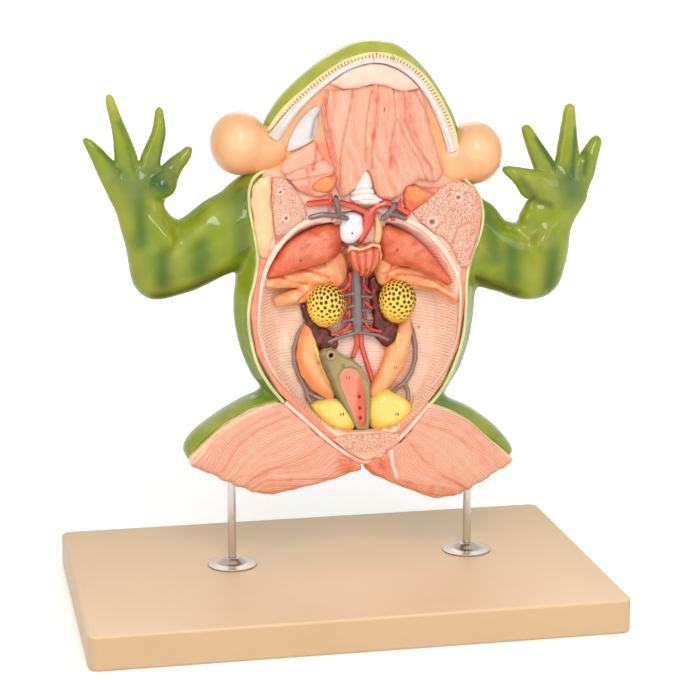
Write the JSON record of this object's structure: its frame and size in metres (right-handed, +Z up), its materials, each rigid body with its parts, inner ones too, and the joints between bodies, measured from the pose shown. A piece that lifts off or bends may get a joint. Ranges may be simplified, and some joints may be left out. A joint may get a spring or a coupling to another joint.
{
  "type": "frog dissection model",
  "caption": "Opened frog on a stand: a green shell with limbs holds a relief of muscles and a belly hollow with organs; it lifts off two rods, and heart and ovaries pull off pegs.",
  "frame": {"origin": "centre of the board's underside, on the surface the board rests on", "axes": "+Z up along the rods, +X to the right of someone who looks at the opened belly, -Y out of the belly towards that viewer"},
  "size_m": [0.3898, 0.24, 0.4055],
  "materials": {
    "board_lacquer": "smooth cream lacquer on board",
    "chrome": "polished",
    "zinc_steel": "zinc plated",
    "green_skin": "glossy painted skin with darker bands",
    "eye_paint": "glossy gold with a dark pupil",
    "muscle": "glossy, with fine pale fibres",
    "pale_flesh": "glossy, pale pink to cream",
    "spongy_section": "pitted",
    "bone": "off-white",
    "gum_yellow": "pale yellow with red ticks",
    "sac_peach": "glossy peach",
    "gland_orange": "glossy orange",
    "lung_red": "satin with small dimples",
    "fat_orange": "glossy orange",
    "heart_red": "glossy red with a cream rim",
    "atrium_white": "glossy bluish white",
    "artery_red": "glossy red",
    "vein_grey": "glossy purplish grey",
    "ovary_yellow": "yellow with dark brown dots",
    "kidney_brown": "high gloss dark brown",
    "duct_orange": "glossy orange",
    "bladder_yellow": "glossy yellow",
    "cloaca_olive": "glossy olive brown"
  },
  "bodies": {
    "stand": {"base_board": "board_lacquer", "left_rod": "chrome", "right_rod": "chrome", "left_flange": "chrome", "right_flange": "chrome", "left_flange_nut": "zinc_steel", "right_flange_nut": "zinc_steel"},
    "frog": {"dorsal_shell": "green_skin", "left_arm": "green_skin", "right_arm": "green_skin", "left_thigh_skin": "green_skin", "right_thigh_skin": "green_skin", "left_eye": "eye_paint", "right_eye": "eye_paint", "body_wall": "pale_flesh", "pelvic_band": "pale_flesh", "left_arch": "pale_flesh", "right_arch": "pale_flesh", "left_shoulder_cartilage": "pale_flesh", "chin_pad": "pale_flesh", "oesophagus": "pale_flesh", "left_thigh_muscle": "muscle", "right_thigh_muscle": "muscle", "throat_muscles": "muscle", "left_neck_muscle": "muscle", "cloaca_lining": "muscle", "pelvic_symphysis": "spongy_section", "left_shoulder_muscle": "spongy_section", "right_shoulder_muscle": "spongy_section", "jaw_bone": "bone", "left_jaw_plate": "bone", "larynx": "bone", "jaw_rim": "gum_yellow", "left_vocal_sac": "sac_peach", "right_vocal_sac": "sac_peach", "left_gland": "gland_orange", "right_gland": "gland_orange", "left_lung": "lung_red", "right_lung": "lung_red", "left_fat_body": "fat_orange", "right_fat_body": "fat_orange", "atrium": "atrium_white", "arterial_trunk": "artery_red", "dorsal_aorta": "artery_red", "left_brachial_vein": "vein_grey", "right_brachial_vein": "vein_grey", "vena_cava": "vein_grey", "left_lateral_vein": "vein_grey", "right_lateral_vein": "vein_grey", "left_kidney": "kidney_brown", "right_kidney": "kidney_brown", "left_oviduct": "duct_orange", "right_oviduct": "duct_orange", "left_bladder_lobe": "bladder_yellow", "right_bladder_lobe": "bladder_yellow", "cloaca": "cloaca_olive"},
    "heart": {"heart": "heart_red"},
    "left_ovary": {"left_ovary": "ovary_yellow"},
    "right_ovary": {"right_ovary": "ovary_yellow"}
  },
  "joints": [
    {"name": "frog_lift", "type": "slide", "parent": "stand", "child": "frog", "axis": [0, 0, 1], "range_m": [0, 0.06]},
    {"name": "heart_lift", "type": "slide", "parent": "frog", "child": "heart", "axis": [0, -1, 0], "range_m": [0, 0.04]},
    {"name": "left_ovary_lift", "type": "slide", "parent": "frog", "child": "left_ovary", "axis": [0, -1, 0], "range_m": [0, 0.05]},
    {"name": "right_ovary_lift", "type": "slide", "parent": "frog", "child": "right_ovary", "axis": [0, -1, 0], "range_m": [0, 0.05]}
  ]
}
